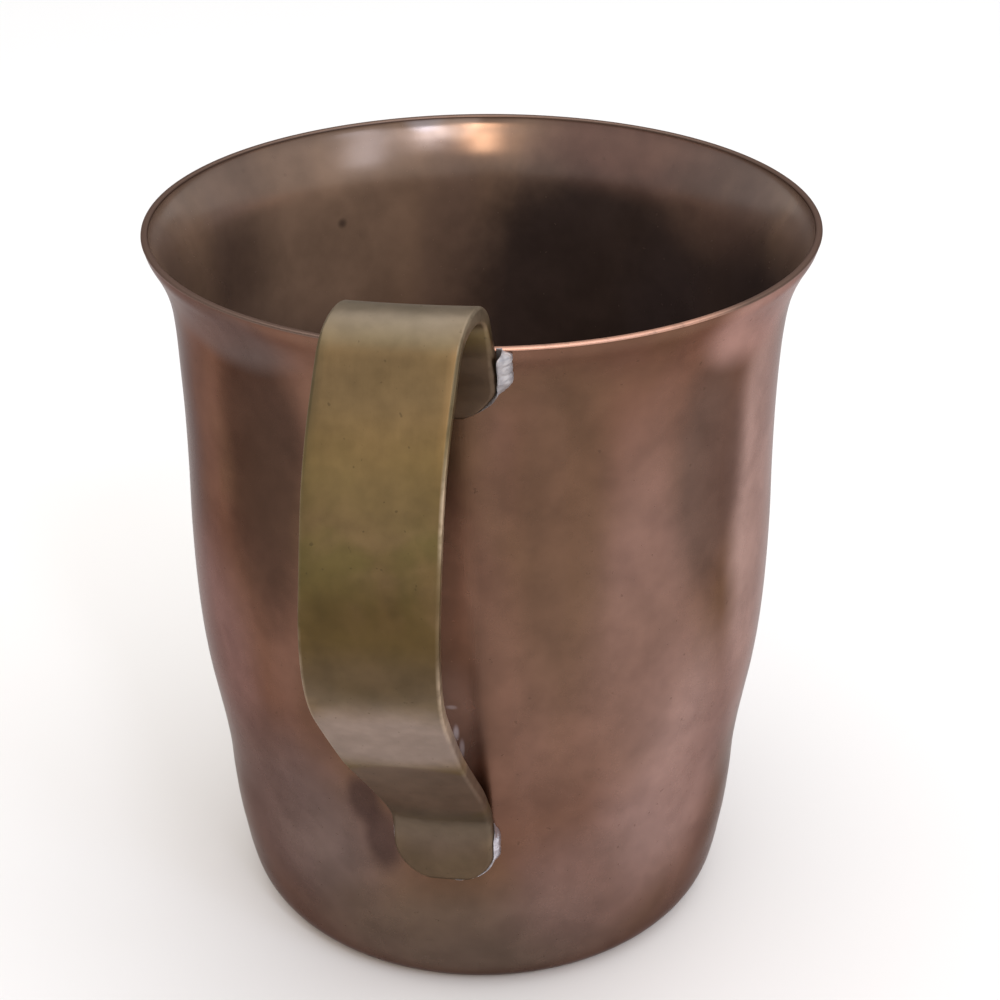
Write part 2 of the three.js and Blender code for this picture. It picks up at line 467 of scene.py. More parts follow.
@dataclass(frozen=True)
class Mottling:
    """Fine and blooming darker marks in a metal's tone, and small dark specks on it."""

    fine: Cloud
    bloom: Cloud
    dots: Cloud
    speck: Colour
    fine_depth: float
    bloom_depth: float
    bloom_span: Pair
    dot_span: Pair
    dot_share: float
    fine_span: Pair = (0.25, 0.75)
    dimmest: float = 0.84

    def specks(self, bench: FinishBench) -> Wire:
        """How strongly the specks show."""
        return bench.step(bench.cloud(self.dots), self.dot_span) * self.dot_share

    def lay(self, bench: FinishBench, tone: Wire, fine: Wire, specks: Wire) -> Wire:
        """Lays the marks and the specks over a colour.

        Args:
            bench: The bench of the finish.
            tone: The colour below.
            fine: The noise of the fine cloud.
            specks: How strongly the specks show.

        Returns:
            The mottled colour.
        """
        marks = bench.step(fine, self.fine_span) * self.fine_depth
        blooms = bench.step(bench.cloud(self.bloom), self.bloom_span) * self.bloom_depth
        tone = bench.blend(1.0, tone, bench.grey(marks + blooms + self.dimmest), Blend.DARKEN)
        return bench.blend(specks, tone, self.speck)


@dataclass(frozen=True)
class CopperFinish:
    """Softly polished copper under a brown patina, darker and browner inside the body, with patches of
    painted light, shade and reflection.
    """

    brown: Colour = colour(0.154, 0.075, 0.049)
    olive: Colour = colour(0.148, 0.080, 0.045)
    rose: Colour = colour(0.188, 0.098, 0.076)
    inner: Colour = colour(0.180, 0.116, 0.085)
    inner_tan: Colour = colour(0.222, 0.141, 0.095)
    lip: Colour = colour(0.175, 0.115, 0.090)
    # The colour after the lip's is a painted highlight on the rim
    rim_highlight: Colour = colour(0.600, 0.340, 0.250)
    edge_shade: Colour = colour(0.48, 0.40, 0.39)
    broad: Cloud = Cloud(38, 3, bend=0.6)
    upright: Cloud = Cloud(14, 3, stretch=(1, 1, 5), shift=2.3, bend=0.4)
    hollows: Cloud = Cloud(26, 1, shift=3.7)
    scratches: Cloud = Cloud(0.5, 2, stretch=(1, 1, 14), shift=7.7)
    mottling: Mottling = Mottling(
        fine=Cloud(2.2, 4, shift=5.1), bloom=Cloud(9.0, 1.5, shift=6.2, bend=0.3),
        dots=Cloud(0.9, 1, shift=9.4), speck=colour(0.060, 0.035, 0.022), fine_depth=0.10,
        bloom_depth=0.22, bloom_span=(0.30, 0.70), dot_span=(0.74, 0.80), dot_share=0.3,
    )
    patches: tuple[TarnishAndPaintedLightPatch, ...] = ()
    inner_patches: tuple[TarnishAndPaintedLightPatch, ...] = ()
    olive_span: Pair = (0.36, 0.66)
    rose_span: Pair = (0.42, 0.78)
    rose_share: float = 0.45
    tan_span: Pair = (0.38, 0.70)
    broad_wander: float = 0.7
    fine_wander: float = 0.06
    # A painted highlight on the rim at one spot in front, broken up by fine noise
    rim_highlight_spot: Triple = (44.5, 21.0, 114.5)
    rim_highlight_reach: Triple = (14.0, 17.0, 14.0)
    rim_highlight_span: Pair = (0.75, 1.6)
    bright_edge_span: Pair = (0.1, 0.5)
    # A painted reflection of the strap beside it: the metal shows less there
    strap_reflection_spot: Triple = (45.6, 1.4, 64.0)
    strap_reflection_reach: Triple = (6.0, 4.6, 24.0)
    strap_reflection_span: Pair = (0.5, 1.3)
    strap_reflection_share: float = 0.42
    inner_film: float = 0.6
    gloss: float = 0.27
    upright_dulling: float = 0.08
    fine_dulling: float = 0.04
    speck_dulling: float = 0.2
    rim_dulling: float = 0.15
    inner_polish: float = 0.03
    coat: float = 0.12
    inner_sheen: float = 0.6
    coat_roughness: float = 0.22
    hollow_depth: float = 0.22
    scratch_depth: float = 0.003

    def dress(self, piece: bpy.types.Object) -> None:
        """Gives the finish to the body.

        Args:
            piece: The body, which stores 1 as INNER_FACE inside and as RIM_EDGE at the rim.
        """
        bench = FinishBench("patinated_copper")
        inside, rim = bench.stored(Mark.INNER_FACE), bench.stored(Mark.RIM_EDGE)
        outside = 1.0 - inside
        broad, upright = bench.cloud(self.broad), bench.cloud(self.upright)
        fine, specks = bench.cloud(self.mottling.fine), self.mottling.specks(bench)
        tone = bench.blend(bench.step(broad, self.olive_span), self.brown, self.olive)
        tone = bench.blend(bench.step(upright, self.rose_span) * self.rose_share, tone, self.rose)
        lining = bench.blend(bench.step(upright, self.tan_span), self.inner, self.inner_tan)
        tone = bench.blend(inside, tone, lining)
        ragged = (broad - NOISE_MIDDLE) * self.broad_wander + (fine - NOISE_MIDDLE) * self.fine_wander
        # Patches of painted light, shade and reflection, and one dark spot inside
        for patch in self.patches:
            tone = patch.lay(bench, tone, ragged, outside)
        for patch in self.inner_patches:
            tone = patch.lay(bench, tone, ragged, inside)
        tone = self.mottling.lay(bench, tone, fine, specks)
        tone = bench.blend(rim, tone, self.rim_tone(bench, fine))
        dull = (upright - NOISE_MIDDLE) * self.upright_dulling + (fine - NOISE_MIDDLE) * self.fine_dulling
        dull = self.gloss + dull + specks * self.speck_dulling
        soft = bench.bump(bench.cloud(self.hollows), self.hollow_depth)
        bench.dress(piece, {
            "Base Color": tone,
            "Metallic": 1.0 - inside * self.inner_film - self.painted_strap_reflection(bench),
            "Roughness": dull - inside * self.inner_polish + rim * self.rim_dulling,
            "Specular Tint": self.edge_shade,
            "Coat Weight": inside * self.inner_sheen + self.coat,
            "Coat Roughness": self.coat_roughness,
            "Normal": bench.bump(bench.cloud(self.scratches), self.scratch_depth, soft),
        })

    def rim_tone(self, bench: FinishBench, fine: Wire) -> Wire:
        """The rim's colour: dull, and bright at one spot in front with a painted highlight."""
        bright_edge = 1.0 - bench.step(bench.from_spot(self.rim_highlight_spot, self.rim_highlight_reach), self.rim_highlight_span)
        return bench.blend(bright_edge * bench.step(fine, self.bright_edge_span), self.lip, self.rim_highlight)

    def painted_strap_reflection(self, bench: FinishBench) -> Wire:
        """How much of the metal's reflection is taken beside the strap, as a painted reflection of the
        strap.
        """
        clean = bench.step(bench.from_spot(self.strap_reflection_spot, self.strap_reflection_reach), self.strap_reflection_span)
        return (1.0 - clean) * self.strap_reflection_share


@dataclass(frozen=True)
class BrassFinish:
    """Aged olive brass with tan clouds, brighter on its edges from wear and painted highlights, with
    painted light on its underside and patches of painted light, shade and reflection.
    """

    olive: Colour = colour(0.162, 0.107, 0.044)
    green: Colour = colour(0.124, 0.092, 0.032)
    tan: Colour = colour(0.195, 0.125, 0.062)
    # The colour of the bright edges, from wear and painted highlights, then the underside's, which is
    # painted light
    bright_edge: Colour = colour(0.800, 0.620, 0.450)
    under: Colour = colour(0.520, 0.360, 0.240)
    edge_shade: Colour = colour(0.50, 0.46, 0.42)
    broad: Cloud = Cloud(16, 3, bend=0.8)
    second: Cloud = Cloud(11, 3, shift=4.2, bend=0.5)
    drawn: Cloud = Cloud(0.45, 2, stretch=(12, 1, 12), shift=8.8)
    hollows: Cloud = Cloud(12, 1, shift=0.9)
    mottling: Mottling = Mottling(
        fine=Cloud(1.6, 4, shift=1.9), bloom=Cloud(6.0, 1.5, shift=3.3, bend=0.4),
        dots=Cloud(0.8, 1, shift=6.6), speck=colour(0.05, 0.036, 0.018), fine_depth=0.12,
        bloom_depth=0.18, bloom_span=(0.30, 0.68), dot_span=(0.73, 0.79), dot_share=0.4,
    )
    patches: tuple[TarnishAndPaintedLightPatch, ...] = ()
    green_span: Pair = (0.36, 0.62)
    tan_span: Pair = (0.44, 0.68)
    tan_share: float = 0.75
    wander: float = 0.5
    # Where the bright edges show, from wear and painted highlights
    bright_edge_span: Pair = (0.15, 0.6)
    bright_edge_share: float = 0.8
    gloss: float = 0.42
    second_dulling: float = 0.10
    fine_dulling: float = 0.06
    speck_dulling: float = 0.2
    coat: float = 0.15
    coat_roughness: float = 0.25
    drawn_depth: float = 0.004
    hollow_depth: float = 0.10

    def dress(self, piece: bpy.types.Object) -> None:
        """Gives the finish to the strap.

        Args:
            piece: The strap, which stores at its corners how bright its edges are, from wear and painted
            highlights, and 1 as HIDDEN_FACE on the face that lies towards the body.
        """
        bench = FinishBench("aged_brass")
        broad, second = bench.cloud(self.broad), bench.cloud(self.second)
        fine, specks = bench.cloud(self.mottling.fine), self.mottling.specks(bench)
        tone = bench.blend(bench.step(broad, self.green_span), self.olive, self.green)
        tone = bench.blend(bench.step(second, self.tan_span) * self.tan_share, tone, self.tan)
        # Painted light on the underside, which faces the body
        tone = bench.blend(bench.stored(Mark.HIDDEN_FACE), tone, self.under)
        ragged = (second - NOISE_MIDDLE) * self.wander
        # Patches of painted light, shade and reflection
        for patch in self.patches:
            tone = patch.lay(bench, tone, ragged)
        tone = self.mottling.lay(bench, tone, fine, specks)
        # The bright edges: wear and painted highlights
        bright_edges = bench.stored(Mark.EDGE_WEAR_AND_SHEEN) * bench.step(fine, self.bright_edge_span) * self.bright_edge_share
        dull = (second - NOISE_MIDDLE) * self.second_dulling + (fine - NOISE_MIDDLE) * self.fine_dulling
        lines = bench.bump(bench.cloud(self.drawn), self.drawn_depth)
        bench.dress(piece, {
            "Base Color": bench.blend(bright_edges, tone, self.bright_edge),
            "Metallic": 1.0,
            "Roughness": self.gloss + dull + specks * self.speck_dulling,
            "Specular Tint": self.edge_shade,
            "Coat Weight": self.coat,
            "Coat Roughness": self.coat_roughness,
            "Normal": bench.bump(bench.cloud(self.hollows), self.hollow_depth, lines),
        })


@dataclass(frozen=True)
class SolderFinish:
    """Bright tin solder, frosted where it is thick."""

    name: str
    bright: Colour
    dull: Colour
    gloss: float
    frost: Cloud = Cloud(1.2, 4, bend=0.5)
    grains: Cloud = Cloud(0.3, 3, shift=3.1)
    frost_span: Pair = (0.35, 0.65)
    frost_depth: float = 0.18
    grain_depth: float = 0.03
    frost_dulling: float = 0.2
    metal: float = 0.85

    def dress(self, piece: bpy.types.Object) -> None:
        """Gives the finish to a bead."""
        bench = FinishBench(self.name)
        frost = bench.cloud(self.frost)
        grainy = bench.bump(bench.cloud(self.grains), self.grain_depth)
        bench.dress(piece, {
            "Base Color": bench.blend(bench.step(frost, self.frost_span), self.bright, self.dull),
            "Metallic": self.metal,
            "Roughness": self.gloss + (frost - NOISE_MIDDLE) * self.frost_dulling,
            "Normal": bench.bump(frost, self.frost_depth, grainy),
        })


# The pitcher's sub-assemblies. -Y is the left side and +Y the right, with the handle in front.


@dataclass(frozen=True)
class Wave:
    """An unevenness round the wall: its lobes, its share, its phase and its twist up the wall."""

    lobes: int
    share: float
    phase: float
    twist: float


@dataclass
class WallShape:
    """The outer face of the copper body.

    Radii and heights are in millimetres. The face is given as (radius, height) from the edge of
    the base to the rim, as it was fitted to the outline in the photo. The calm and start values
    are shares of the height.
    """

    height: float = 114.5
    sheet: float = 0.9
    base_radius: float = 32.5
    face: tuple[Pair, ...] = (
        (34.5, 0.1), (36.9, 0.8), (38.5, 2.3), (39.6, 4.5), (40.36, 7.7), (40.8, 10.3),
        (41.5, 14.9), (42.0, 20.6), (42.3, 26.4), (42.94, 32.1), (43.8, 37.8), (44.66, 43.5),
        (45.31, 50.4), (45.63, 58.4), (45.65, 67.6), (45.4, 76.7), (45.31, 85.9), (45.46, 93.9),
        (45.7, 99.6), (46.2, 104.2), (47.1, 107.6), (48.34, 110.5), (49.56, 112.8), (50.0, 114.5),
    )
    steps: int = 6
    wobble: float = 0.10
    waves: tuple[Wave, ...] = (Wave(2, 1.0, 1.1, 2.0), Wave(3, 0.6, 0.4, -3.0), Wave(5, 0.5, 2.2, 5.0))
    calm_foot: float = 0.12
    calm_rim: float = 0.1
    rim_tilt: float = 0.35
    tilt_start: float = 0.85
    mouth_shift: float = 0.4
    shift_start: float = 0.8
    outline: list[Pair] = field(init=False)

    def __post_init__(self) -> None:
        """Runs a smooth line through the face's points."""
        self.outline = follow(self.face, self.steps)

    @property
    def rim_radius(self) -> float:
        """The radius of the rim."""
        return self.face[-1][0]

    def plain_radius(self, height: float) -> float:
        """The radius of the turned shape at a height."""
        line = self.outline
        for low, high in zip(line, line[1:]):
            if height <= high[1]:
                share = (height - low[1]) / (high[1] - low[1])
                return between(low[0], high[0], max(share, 0.0))
        return line[-1][0]

    def uneven(self, angle: float, height: float) -> float:
        """How far the handmade wall stands off the turned shape, never outwards at the rim."""
        up = height / self.height
        off = sum(w.share * math.sin(w.lobes * angle + w.phase + w.twist * up) for w in self.waves)
        fade = ease(up / self.calm_foot) * (1.0 - ease((up - 1.0 + self.calm_rim) / self.calm_rim))
        return self.wobble * off * fade

    def tilt(self, angle: float, height: float) -> float:
        """How far the rim leans down on the -Y side, fading out below the throat."""
        share = ease((height / self.height - self.tilt_start) / (1.0 - self.tilt_start))
        return self.rim_tilt * share * (math.sin(angle) - 1.0) / 2.0

    def aside(self, height: float) -> float:
        """How far the mouth stands to the +Y side, fading out below the throat."""
        share = (height / self.height - self.shift_start) / (1.0 - self.shift_start)
        return self.mouth_shift * ease(share)

    def at(self, across: float, height: float, off: float) -> Triple:
        """A point on the +X side of the wall.

        Args:
            across: Its place along Y.
            height: Its height.
            off: How far it stands out from the wall.

        Returns:
            The point.
        """
        radius = self.plain_radius(height)
        angle = math.asin(across / radius)
        radius += self.uneven(angle, height) + off
        return radius * math.cos(angle), radius * math.sin(angle) + self.aside(height), height


@dataclass
class CopperBody:
    """The raised copper body: one sheet with a flared rim and a rounded foot."""

    wall: WallShape
    finish: CopperFinish
    around: int = 288
    rim_round: float = 0.32
    rim_steps: int = 4
    rim_clear: float = 0.05
    floor_rings: int = 6

    def rim(self) -> list[Pair]:
        """The rounded edge of the rim, from the outer face over to the inner one."""
        top, outer, r = self.wall.height, self.wall.rim_radius, self.rim_round
        inner = max(p[0] for p in moved_out(self.wall.outline, -self.wall.sheet) if p[1] < top - r)
        turns = [math.pi / 2 * k / self.rim_steps for k in range(self.rim_steps + 1)]
        out = [(outer - r + r * math.cos(t), top - r + r * math.sin(t)) for t in turns]
        back = [(inner + r - r * math.sin(t), top - r + r * math.cos(t)) for t in turns]
        return out + back

    def section(self) -> list[tuple[float, float, float, float]]:
        """The body's whole section.

        Returns:
            Its points as radius, height, 1 where it is inside, and 1 at the rim's edge.
        """
        wall, sheet = self.wall, self.wall.sheet
        top = wall.height - self.rim_round - self.rim_clear
        rings = [wall.base_radius * (k + 1) / self.floor_rings for k in range(self.floor_rings)]
        outer = [p for p in wall.outline if p[1] < top]
        inner = [p for p in moved_out(wall.outline, -sheet) if sheet < p[1] < top]
        line = [(r, 0.0, 0.0, 0.0) for r in rings]
        line += [(r, z, 0.0, 0.0) for r, z in outer]
        line += [(r, z, 0.0, 1.0) for r, z in self.rim()]
        line += [(r, z, 1.0, 0.0) for r, z in reversed(inner)]
        line += [(r, sheet, 1.0, 0.0) for r in reversed(rings) if r < inner[0][0]]
        return line

    def corners(self, section: Sequence[tuple[float, float, float, float]]) -> list[Triple]:
        """Turns a section round the axis.

        Args:
            section: The body's section.

        Returns:
            The corners row by row, then the middles of the underside and of the inner floor.
        """
        corners: list[Triple] = []
        for radius, height, _, _ in section:
            aside = self.wall.aside(height)
            for k in range(self.around):
                angle = 2 * math.pi * k / self.around
                out = radius + self.wall.uneven(angle, height)
                lift = height + self.wall.tilt(angle, height)
                corners.append((out * math.cos(angle), out * math.sin(angle) + aside, lift))
        return [*corners, (0.0, 0.0, 0.0), (0.0, 0.0, self.wall.sheet)]

    def faces(self, rows: int) -> list[Face]:
        """The faces of the sheet, with fans that close the underside and the inner floor.

        Args:
            rows: How many rows of corners the body has.

        Returns:
            The faces, as corner numbers.
        """
        faces = joined_loops(rows, self.around)
        under, last = rows * self.around, (rows - 1) * self.around
        for k in range(self.around):
            after = (k + 1) % self.around
            faces.append((under, after, k))
            faces.append((under + 1, last + k, last + after))
        return faces

    def build(self) -> bpy.types.Object:
        """Makes the body, dresses it and sets it on the frame.

        Returns:
            The body's object.
        """
        section = self.section()
        body = make_piece("raised_copper_body", self.corners(section), self.faces(len(section)))
        inner = [inside for _, _, inside, _ in section for _ in range(self.around)]
        rim = [edge for _, _, _, edge in section for _ in range(self.around)]
        store(body, Mark.INNER_FACE, [*inner, 0.0, 1.0])
        store(body, Mark.RIM_EDGE, [*rim, 0.0, 0.0])
        self.finish.dress(body)
        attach(body, ROOT_BODY)
        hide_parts("copper_body")
        return body


@dataclass(frozen=True)
class Corner:
    """A corner of the strap's outer face in side view, with the radius of the bend there."""

    out: float
    up: float
    bend: float = 0.0


@dataclass(frozen=True)
class TabEnd:
    """How a tab's end is rounded off: how far each corner's curve runs across and up."""

    left_across: float
    left_up: float
    right_across: float
    right_up: float

    def half(self, width: float, from_end: float, side: int) -> float:
        """How far the tab reaches to one side.

        Args:
            width: The tab's full width.
            from_end: The distance from its end.
            side: -1 for the -Y side and 1 for the +Y side.

        Returns:
            The reach from the middle line.
        """
        across, up = self.right_across, self.right_up
        if side < 0:
            across, up = self.left_across, self.left_up
        left = max(1.0 - from_end / up, 0.0)
        return width / 2 - across + across * math.sqrt(1.0 - left * left)


@dataclass
class BrassStrap:
    """The strap handle: hooked over the rim, bowed for the hand, bent back in to the wall.

    Lengths are in millimetres. The neck, crest and elbow are places along X: the neck's is where
    the strap begins to sway and widen, and the elbow's is where it has done so.
    """

    wall: WallShape
    finish: BrassFinish
    thickness: float = 2.2
    edge_round: float = 0.9
    grip_round: float = 0.5
    grip_from: float = 49.5
    grip_fade: float = 5.0
    most_round: float = 0.47
    grip_width: float = 17.5
    upper_width: float = 17.2
    lower_width: float = 14.8
    seat: float = 0.35
    lip_gap: float = 0.7
    upper_end: float = 103.9
    lower_end: float = 25.4
    lower_top: float = 36.9
    sway: float = 4.0
    lean: float = 0.4
    neck: float = 45.3
    elbow: float = 78.4
    crest: float = 63.7
    upper_tab: TabEnd = TabEnd(6.5, 5.5, 6.5, 6.5)
    lower_tab: TabEnd = TabEnd(7.2, 6.8, 5.4, 5.2)
    bow: tuple[Corner, ...] = (
        Corner(50.7, 115.2, 4.0), Corner(55.3, 123.6, 6.9), Corner(63.7, 123.3, 8.0),
        Corner(72.5, 107.1, 51.0), Corner(78.4, 80.5, 24.0), Corner(64.2, 59.8, 1.8),
    )
    lip_bend: float = 4.0
    tab_bend: float = 12.0
    bend_share: float = 0.48
    bend_step: float = 0.15
    step: float = 0.5
    across_steps: int = 16
    edge_steps: int = 6
    side_share: float = 0.7
    back_share: float = 0.3
    hook_wear: float = 0.22
    # Edge brightness by side and height: wear, and painted highlights where the edges catch the light,
    # stronger on the +Y side
    left_wear_and_sheen: Pair = (0.06, 0.4)
    left_sheen: Stretch = Stretch(60.0, 6.0, 82.0, 8.0)
    right_wear_and_sheen: Triple = (0.10, 0.8, 0.5)
    grip_sheen: Stretch = Stretch(95.0, 7.0, 105.0, 7.0)
    elbow_sheen: Stretch = Stretch(66.0, 5.0, 80.0, 6.0)
    hidden_depth: Pair = (0.6, 0.35)
    hidden_height: Pair = (98.0, 10.0)

    def corners(self) -> list[Corner]:
        """The outer face's corners, from the upper tab's end to the lower one's."""
        wall, off = self.wall, self.seat + self.thickness
        climb = [Corner(r, z, self.lip_bend) for r, z in moved_out(wall.outline[:: wall.steps], self.seat)
                 if self.upper_end + self.lip_gap < z < wall.height - self.lip_gap]
        start = Corner(wall.plain_radius(self.upper_end) + self.seat, self.upper_end)
        tab_top = Corner(wall.plain_radius(self.lower_top) + off, self.lower_top, self.tab_bend)
        end = Corner(wall.plain_radius(self.lower_end) + off, self.lower_end)
        return [start, *climb, *self.bow, tab_top, end]

    def line(self) -> list[Pair]:
        """The outer face's line in side view, cut into even steps."""
        corners = self.corners()
        rough: list[Pair] = [(corners[0].out, corners[0].up)]
        for before, here, after in zip(corners, corners[1:], corners[2:]):
            middle = Vector((here.out, here.up))
            back = Vector((before.out, before.up)) - middle
            on = Vector((after.out, after.up)) - middle
            room = self.bend_share * min(back.length, on.length)
            back.normalize()
            on.normalize()
            half = math.acos(max(-1.0, min(1.0, back.dot(on)))) / 2
            cut = min(here.bend / math.tan(half), room)
            radius = cut * math.tan(half)
            centre = middle + (back + on).normalized() * (radius / math.sin(half))
            first, last = middle + back * cut - centre, middle + on * cut - centre
            turn = first.angle_signed(last)
            pieces = max(2, int(radius * abs(turn) / self.bend_step))
            for k in range(pieces + 1):
                rough.append(tuple(centre + Matrix.Rotation(-turn * k / pieces, 2) @ first))
        rough.append((corners[-1].out, corners[-1].up))
        return even_steps(rough, self.step)

    def width(self, out: float, up: float) -> float:
        """The strap's width at a point of its outer face."""
        share = min(max((up - self.lower_top) / (self.wall.height - self.lower_top), 0.0), 1.0)
        at_wall = between(self.lower_width, self.upper_width, share)
        reach = min(max((out - self.neck) / (self.elbow - self.neck), 0.0), 1.0)
        return between(at_wall, self.grip_width, reach * reach)

    def aside(self, out: float, up: float) -> float:
        """How far the strap's middle line lies to the +Y side at a point of its outer face."""
        reach = (out - self.neck) / (self.elbow - self.neck)
        return self.lean * ease(up / self.wall.height) - self.sway * ease(reach)

    def worn_and_lit_edge(self, out: float, up: float, across: float) -> float:
        """How bright the strap's edge is, from wear and from painted highlights.

        Args:
            out: The place of its outer face along X.
            up: The height there.
            across: The place across the strap.

        Returns:
            0 where it is as dull as the faces and 1 where it is brightest.
        """
        if out < self.crest and up > self.wall.height / 2:
            return self.hook_wear
        # The +Y edge, and the stretches where the edges catch the light, get painted highlights on top of
        # the wear
        if across < 0:
            plain, more = self.left_wear_and_sheen
            return plain + more * self.left_sheen.share(up)
        plain, at_grip, at_elbow = self.right_wear_and_sheen
        return plain + at_grip * self.grip_sheen.share(up) + at_elbow * self.elbow_sheen.share(up)

    def hidden(self, deep: float, up: float) -> float:
        """How much a corner belongs to the face that lies towards the body.

        Args:
            deep: Its depth below the outer face.
            up: The height of the outer face there.

        Returns:
            1 on that face, and 0 on the outer face and on the hook.
        """
        (depth, depth_fade), (top, top_fade) = self.hidden_depth, self.hidden_height
        return ease((deep / self.thickness - depth) / depth_fade) * (1.0 - ease((up - top) / top_fade))

    def loop(self, left: float, right: float, thick: float, radius: float) -> list[Triple]:
        """One section of the strap.

        Args:
            left: How far it reaches to the -Y side.
            right: How far it reaches to the +Y side.
            thick: Its thickness there.
            radius: How far its edges are rounded.

        Returns:
            Its corners as place across, depth below the outer face, and 1 where an edge shows fully bright.
        """
        r = min(radius, self.most_round * thick)
        skip = (self.thickness - thick) / 2
        side, back = self.side_share, self.back_share
        flat = [k / self.across_steps for k in range(self.across_steps + 1)]
        turns = [math.pi / 2 * k / self.edge_steps for k in range(1, self.edge_steps)]
        loop = [(between(r - left, right - r, s), 0.0, 0.0) for s in flat]
        loop += [(right - r + r * math.sin(t), r - r * math.cos(t), math.sin(t)) for t in turns]
        loop += [(right, r, 1.0), (right, thick - r, side)]
        loop += [(right - r + r * math.cos(t), thick - r + r * math.sin(t), back) for t in turns]
        loop += [(between(right - r, r - left, s), thick, 0.0) for s in flat]
        loop += [(r - left - r * math.sin(t), thick - r + r * math.cos(t), back) for t in turns]
        loop += [(-left, thick - r, side), (-left, r, 1.0)]
        loop += [(r - left - r * math.cos(t), r - r * math.sin(t), math.cos(t)) for t in turns]
        return [(across, deep + skip, edge) for across, deep, edge in loop]

    def section(self, out: float, up: float, from_upper: float, from_lower: float) -> list[Triple]:
        """The strap's section at a point of its outer face.

        Args:
            out: The point's place along X.
            up: Its height.
            from_upper: Its distance from the upper tab's end, along the strap.
            from_lower: Its distance from the lower tab's end.

        Returns:
            The section's corners, as loop gives them.
        """
        end, tab = (from_upper, self.upper_tab) if from_upper < from_lower else (from_lower, self.lower_tab)
        width = self.width(out, up)
        shy = max(self.edge_round - end, 0.0)
        thinned = self.edge_round - math.sqrt(self.edge_round ** 2 - shy ** 2)
        thick = self.thickness - 2 * thinned
        radius = between(self.edge_round, self.grip_round, ease((out - self.grip_from) / self.grip_fade))
        return self.loop(tab.half(width, end, -1), tab.half(width, end, 1), thick, radius)

    def build(self) -> bpy.types.Object:
        """Makes the strap, dresses it and sets it on the frame.

        Returns:
            The strap's object.
        """
        line, rim = self.line(), self.wall.rim_radius
        corners: list[Triple] = []
        edge_shine: list[float] = []
        hidden: list[float] = []
        for i, (out, up) in enumerate(line):
            before, after = line[max(i - 1, 0)], line[min(i + 1, len(line) - 1)]
            along = Vector((after[0] - before[0], after[1] - before[1])).normalized()
            aside = self.aside(out, up)
            hug = 1.0 - ease((out - rim) / (self.crest - rim))
            plain = self.wall.plain_radius(min(up, self.wall.height))
            section = self.section(out, up, i * self.step, (len(line) - 1 - i) * self.step)
            for across, deep, edge in section:
                dish = plain - math.sqrt(plain * plain - (across + aside) ** 2)
                x = out + along.y * deep - dish * hug
                corners.append((x, across + aside, up - along.x * deep))
                edge_shine.append(edge * self.worn_and_lit_edge(out, up, across))
                hidden.append(self.hidden(deep, up))
        faces = [face[::-1] for face in capped_loops(len(line), len(corners) // len(line))]
        strap = make_piece("brass_strap", corners, faces)
        store(strap, Mark.EDGE_WEAR_AND_SHEEN, edge_shine)
        store(strap, Mark.HIDDEN_FACE, hidden)
        self.finish.dress(strap)
        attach(strap, ROOT_BODY)
        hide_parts("brass_handle")
        return strap


@dataclass(frozen=True)
class BeadForm:
    """How a bead spreads over the wall and rises off it, with a lump on its +Y side.

    Lengths are in millimetres. A reach or rise is the one on the -Y side and the one on the +Y
    side, and a turn is how far before the middle the change begins, and how long it takes.
    """

    run: float
    reach: Pair
    reach_turn: Pair
    rise: Pair
    rise_turn: Pair
    lump: Stretch
    lump_reach: float
    lump_rise: float

    def lumped(self, y: float, z: float) -> float:
        """How far a place is inside the lump, from 0 to 1."""
        return self.lump.share(z) if y > 0 else 0.0

    def reach_at(self, y: float, z: float) -> float:
        """How far the bead spreads at a place."""
        ahead, length = self.reach_turn
        return between(*self.reach, ease((y + ahead) / length)) + self.lump_reach * self.lumped(y, z)

    def rise_at(self, y: float, z: float) -> float:
        """How high the bead stands off the wall at a place."""
        ahead, length = self.rise_turn
        return between(*self.rise, ease((y + ahead) / length)) + self.lump_rise * self.lumped(y, z)


